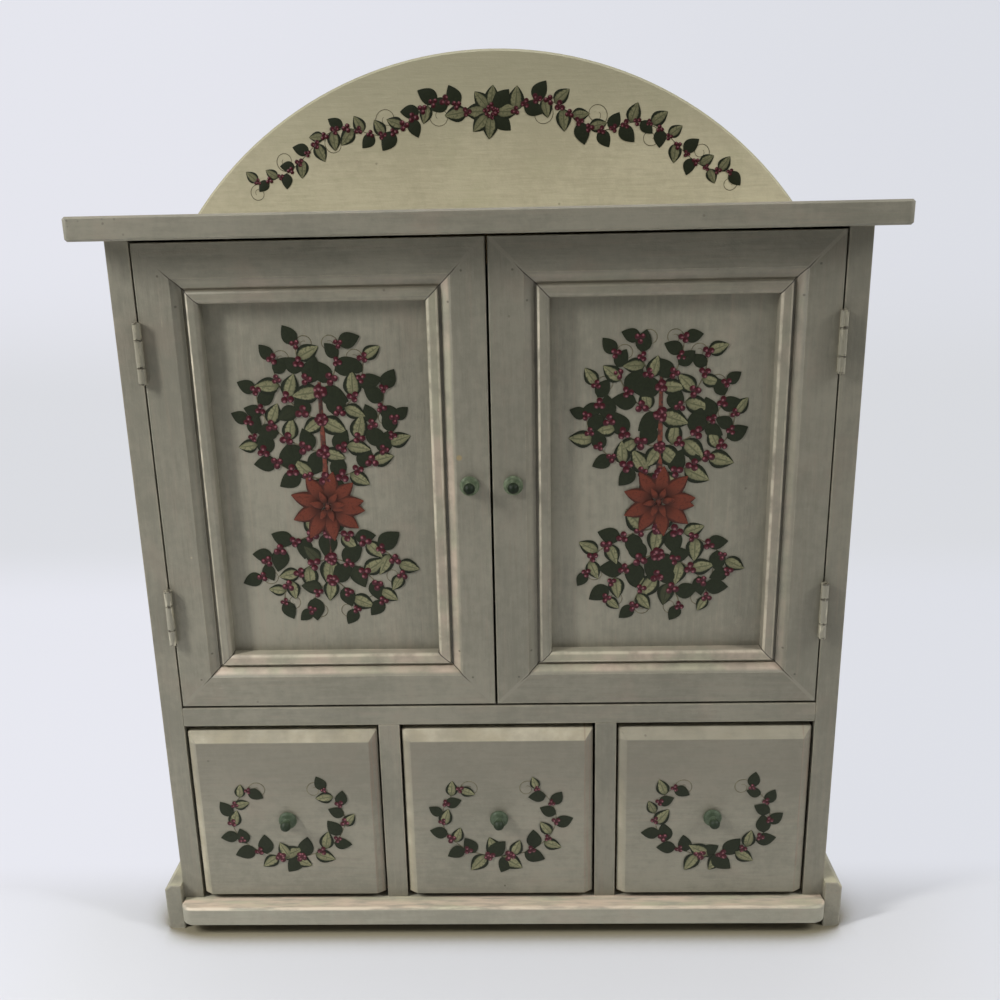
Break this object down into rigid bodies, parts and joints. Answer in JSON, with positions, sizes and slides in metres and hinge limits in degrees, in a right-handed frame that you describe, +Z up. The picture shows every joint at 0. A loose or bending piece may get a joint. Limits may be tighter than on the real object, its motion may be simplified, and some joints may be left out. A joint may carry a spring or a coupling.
{
  "type": "jewelry cabinet",
  "caption": "Painted wooden tabletop jewelry cabinet with a pair of panelled doors over a row of small drawers and an arched crest board on the back of its top.",
  "frame": {"origin": "centre of the bottom of the cabinet's bounding box, on the surface it stands on", "axes": "+X to the right seen from the front, -Y out of the doors and drawers, +Z up"},
  "size_m": [0.328, 0.1414, 0.4065],
  "materials": {
    "body_paint": "brushed grey-green paint, worn to cream at the edges",
    "cream_paint": "brushed cream paint",
    "green_paint": "glossy sage green paint",
    "bare_wood": "bare sanded wood",
    "hinge_metal": "dull plated metal with paint on it",
    "brass": "polished brass",
    "plated_steel": "plated steel",
    "felt": "dark green felt"
  },
  "bodies": {
    "cabinet": {"bottom_board": "body_paint", "side_left": "body_paint", "side_right": "body_paint", "foot_strip_left": "body_paint", "foot_strip_right": "body_paint", "mid_shelf": "body_paint", "drawer_divider_left": "body_paint", "drawer_divider_right": "body_paint", "back_panel": "bare_wood", "top_board": "body_paint", "crest_board": "cream_paint", "hook_rail": "bare_wood", "necklace_hooks": "brass", "door_stop_block": "bare_wood", "door_magnets": "plated_steel", "hinge_leaves_fixed": "hinge_metal", "hinge_pins": "hinge_metal", "carcass_hinge_screws": "hinge_metal", "back_panel_nails": "plated_steel"},
    "door_left": {"door_left_stile_hinge": "body_paint", "door_left_stile_knob": "body_paint", "door_left_rail_top": "body_paint", "door_left_rail_bottom": "body_paint", "door_left_panel": "body_paint", "door_left_knob": "green_paint", "door_left_hinge_leaf_upper": "hinge_metal", "door_left_hinge_leaf_lower": "hinge_metal", "door_left_strike_plate": "plated_steel", "door_left_hinge_screws": "hinge_metal"},
    "door_right": {"door_right_stile_hinge": "body_paint", "door_right_stile_knob": "body_paint", "door_right_rail_top": "body_paint", "door_right_rail_bottom": "body_paint", "door_right_panel": "body_paint", "door_right_knob": "green_paint", "door_right_hinge_leaf_upper": "hinge_metal", "door_right_hinge_leaf_lower": "hinge_metal", "door_right_strike_plate": "plated_steel", "door_right_hinge_screws": "hinge_metal"},
    "drawer_left": {"drawer_left_front": "body_paint", "drawer_left_side_left": "bare_wood", "drawer_left_side_right": "bare_wood", "drawer_left_back": "bare_wood", "drawer_left_bottom": "bare_wood", "drawer_left_felt": "felt", "drawer_left_knob": "green_paint"},
    "drawer_middle": {"drawer_middle_front": "body_paint", "drawer_middle_side_left": "bare_wood", "drawer_middle_side_right": "bare_wood", "drawer_middle_back": "bare_wood", "drawer_middle_bottom": "bare_wood", "drawer_middle_felt": "felt", "drawer_middle_knob": "green_paint"},
    "drawer_right": {"drawer_right_front": "body_paint", "drawer_right_side_left": "bare_wood", "drawer_right_side_right": "bare_wood", "drawer_right_back": "bare_wood", "drawer_right_bottom": "bare_wood", "drawer_right_felt": "felt", "drawer_right_knob": "green_paint"}
  },
  "joints": [
    {"name": "door_left_hinge", "type": "hinge", "parent": "cabinet", "child": "door_left", "pos_m": [-0.1427, -0.0611, 0.218], "axis": [0, 0, -1], "range_deg": [0, 175]},
    {"name": "door_right_hinge", "type": "hinge", "parent": "cabinet", "child": "door_right", "pos_m": [0.1427, -0.0611, 0.218], "axis": [0, 0, 1], "range_deg": [0, 175]},
    {"name": "drawer_left_slide", "type": "slide", "parent": "cabinet", "child": "drawer_left", "axis": [0, -1, 0], "range_m": [0, 0.1]},
    {"name": "drawer_middle_slide", "type": "slide", "parent": "cabinet", "child": "drawer_middle", "axis": [0, -1, 0], "range_m": [0, 0.1]},
    {"name": "drawer_right_slide", "type": "slide", "parent": "cabinet", "child": "drawer_right", "axis": [0, -1, 0], "range_m": [0, 0.1]}
  ]
}
